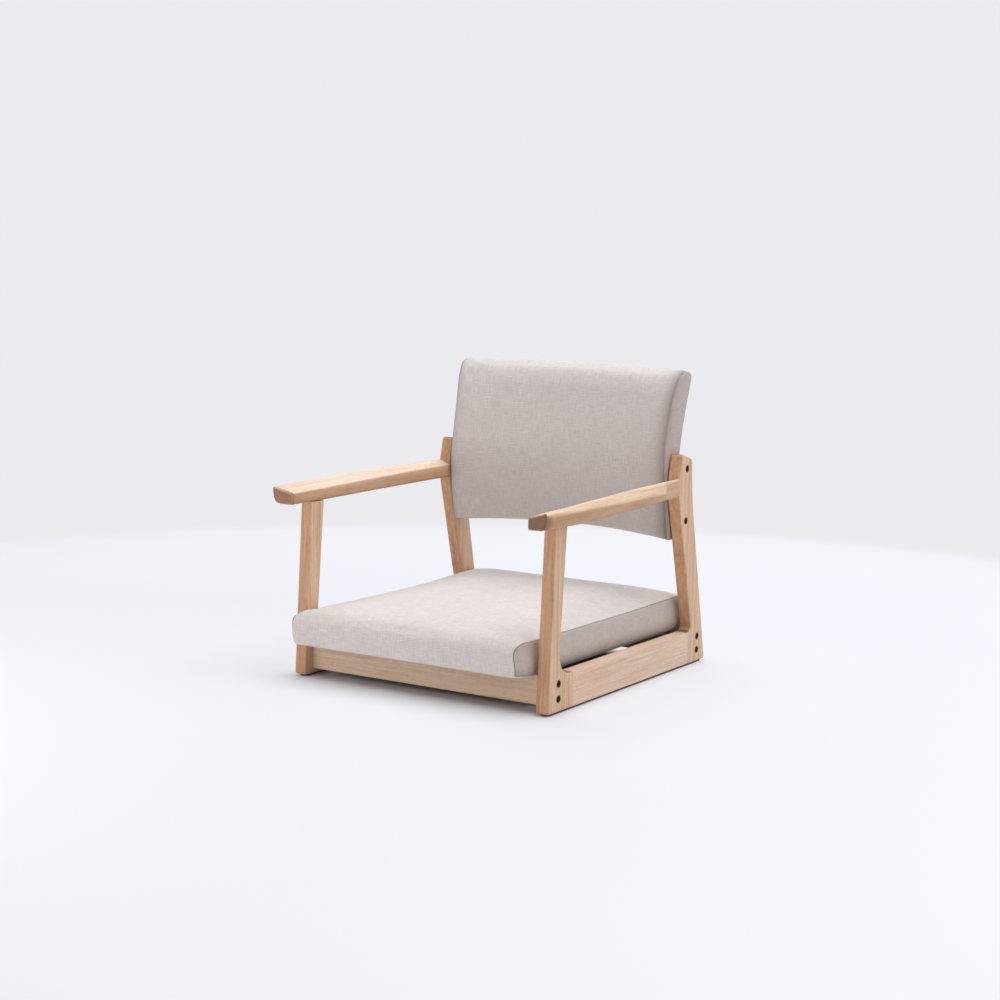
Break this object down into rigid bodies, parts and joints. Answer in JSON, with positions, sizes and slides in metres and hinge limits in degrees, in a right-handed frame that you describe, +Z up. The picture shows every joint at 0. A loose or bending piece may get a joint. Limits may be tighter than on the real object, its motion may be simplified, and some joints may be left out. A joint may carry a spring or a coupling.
{
  "type": "legless floor chair with armrests",
  "caption": "Low wooden floor chair: two flat side frames with shaped armrests, an upholstered seat pad on the rails and a hollow, leaning upholstered back bolted between the posts.",
  "frame": {"origin": "on the floor, under the middle of the chair's width and depth", "axes": "+X to the viewer's right when the chair is seen from the front, +Y from the chair's front to its back, +Z up"},
  "size_m": [0.5644, 0.6072, 0.543],
  "materials": {
    "oak": "satin clear lacquer on pale oak",
    "beech": "bare planed beech",
    "plywood": "bare sanded plywood",
    "upholstery": "plain-woven linen-look cloth over foam",
    "dust_cover": "black non-woven lining cloth",
    "felt": "dense dark felt",
    "black_steel": "black oxide",
    "zinc_steel": "zinc plated"
  },
  "bodies": {
    "root": {"armrest_left": "oak", "armrest_right": "oak", "back_bolt_lower_left": "black_steel", "back_bolt_lower_right": "black_steel", "back_bolt_upper_left": "black_steel", "back_bolt_upper_right": "black_steel", "back_core": "plywood", "back_cushion": "upholstery", "back_insert_lower_left": "zinc_steel", "back_insert_lower_right": "zinc_steel", "back_insert_upper_left": "zinc_steel", "back_insert_upper_right": "zinc_steel", "back_rear_pad": "upholstery", "barrel_nut_front_lower_left": "zinc_steel", "barrel_nut_front_lower_right": "zinc_steel", "barrel_nut_front_upper_left": "zinc_steel", "barrel_nut_front_upper_right": "zinc_steel", "barrel_nut_rear_lower_left": "zinc_steel", "barrel_nut_rear_lower_right": "zinc_steel", "barrel_nut_rear_upper_left": "zinc_steel", "barrel_nut_rear_upper_right": "zinc_steel", "felt_strip_left": "felt", "felt_strip_right": "felt", "frame_bolt_front_lower_left": "black_steel", "frame_bolt_front_lower_right": "black_steel", "frame_bolt_front_upper_left": "black_steel", "frame_bolt_front_upper_right": "black_steel", "frame_bolt_rear_lower_left": "black_steel", "frame_bolt_rear_lower_right": "black_steel", "frame_bolt_rear_upper_left": "black_steel", "frame_bolt_rear_upper_right": "black_steel", "front_leg_left": "oak", "front_leg_right": "oak", "front_rail": "oak", "rear_post_left": "oak", "rear_post_right": "oak", "rear_rail": "oak", "seat_board": "plywood", "seat_cushion": "upholstery", "seat_dust_cover": "dust_cover", "seat_screw_front_left": "black_steel", "seat_screw_front_right": "black_steel", "seat_screw_rear_left": "black_steel", "seat_screw_rear_right": "black_steel", "seat_tee_nut_front_left": "zinc_steel", "seat_tee_nut_front_right": "zinc_steel", "seat_tee_nut_rear_left": "zinc_steel", "seat_tee_nut_rear_right": "zinc_steel", "side_rail_left": "oak", "side_rail_right": "oak", "tenon_arm_post_left": "beech", "tenon_arm_post_right": "beech", "tenon_leg_arm_left": "beech", "tenon_leg_arm_right": "beech", "tenon_leg_rail_left": "beech", "tenon_leg_rail_right": "beech", "tenon_rail_post_left": "beech", "tenon_rail_post_right": "beech"}
  },
  "joints": []
}
